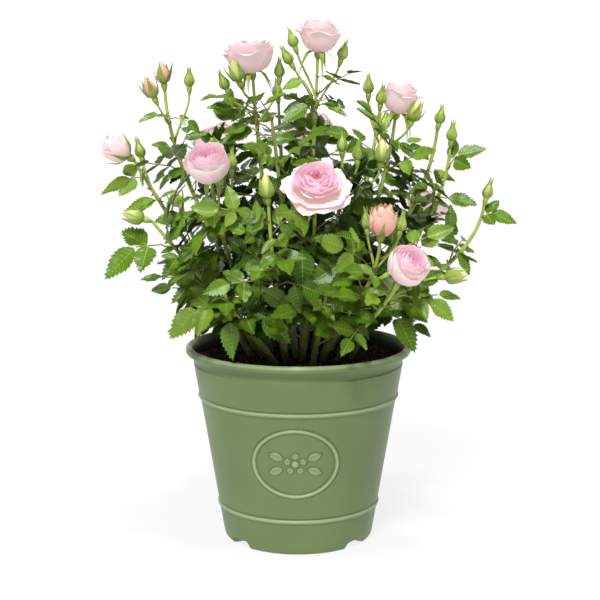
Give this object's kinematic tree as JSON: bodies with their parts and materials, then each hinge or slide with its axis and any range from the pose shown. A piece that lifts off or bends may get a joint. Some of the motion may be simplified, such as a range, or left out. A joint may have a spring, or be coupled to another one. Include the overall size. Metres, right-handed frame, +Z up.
{
  "type": "potted rose bush",
  "caption": "Bushy patio rose in bloom, growing from compost in a round plastic pot with a rolled rim and an oval medallion.",
  "frame": {"origin": "centre of the pot's flat underside, on the pot's axis", "axes": "+Z up along the pot's axis; -Y out of the medallion; +X to the right as seen facing the medallion"},
  "size_m": [0.4067, 0.3643, 0.515],
  "materials": {
    "pot": "satin sage green plastic",
    "compost": "dark damp fibrous compost",
    "cane": "smooth green cane with reddish prickles",
    "foliage": "glossy mid green leaves on reddish stalks",
    "petal": "soft pale pink petals, deeper pink at the heart"
  },
  "bodies": {
    "root": {"pot": "pot", "compost": "compost", "cane_back_high": "cane", "cane_back_left": "cane", "cane_back_low_left": "cane", "cane_back_low_right": "cane", "cane_back_mid": "cane", "cane_back_right": "cane", "cane_centre_front": "cane", "cane_centre_left": "cane", "cane_far_right": "cane", "cane_inner_left": "cane", "cane_inner_right": "cane", "cane_left_bud": "cane", "cane_left_front": "cane", "cane_left_low": "cane", "cane_left_tall": "cane", "cane_mid_left": "cane", "cane_right_front": "cane", "cane_right_low": "cane", "cane_right_mid": "cane", "cane_right_out": "cane", "cane_right_tall": "cane", "cane_skirt_back": "cane", "cane_skirt_front": "cane", "cane_skirt_front_left": "cane", "cane_skirt_left": "cane", "cane_skirt_right": "cane", "cane_top": "cane", "foliage_back_high": "foliage", "foliage_back_left": "foliage", "foliage_back_low_left": "foliage", "foliage_back_low_right": "foliage", "foliage_back_mid": "foliage", "foliage_back_right": "foliage", "foliage_centre_front": "foliage", "foliage_centre_left": "foliage", "foliage_far_right": "foliage", "foliage_inner_left": "foliage", "foliage_inner_right": "foliage", "foliage_left_bud": "foliage", "foliage_left_front": "foliage", "foliage_left_low": "foliage", "foliage_left_tall": "foliage", "foliage_mid_left": "foliage", "foliage_right_front": "foliage", "foliage_right_low": "foliage", "foliage_right_mid": "foliage", "foliage_right_out": "foliage", "foliage_right_tall": "foliage", "foliage_skirt_back": "foliage", "foliage_skirt_front": "foliage", "foliage_skirt_front_left": "foliage", "foliage_skirt_left": "foliage", "foliage_skirt_right": "foliage", "foliage_top": "foliage"}
  },
  "joints": []
}
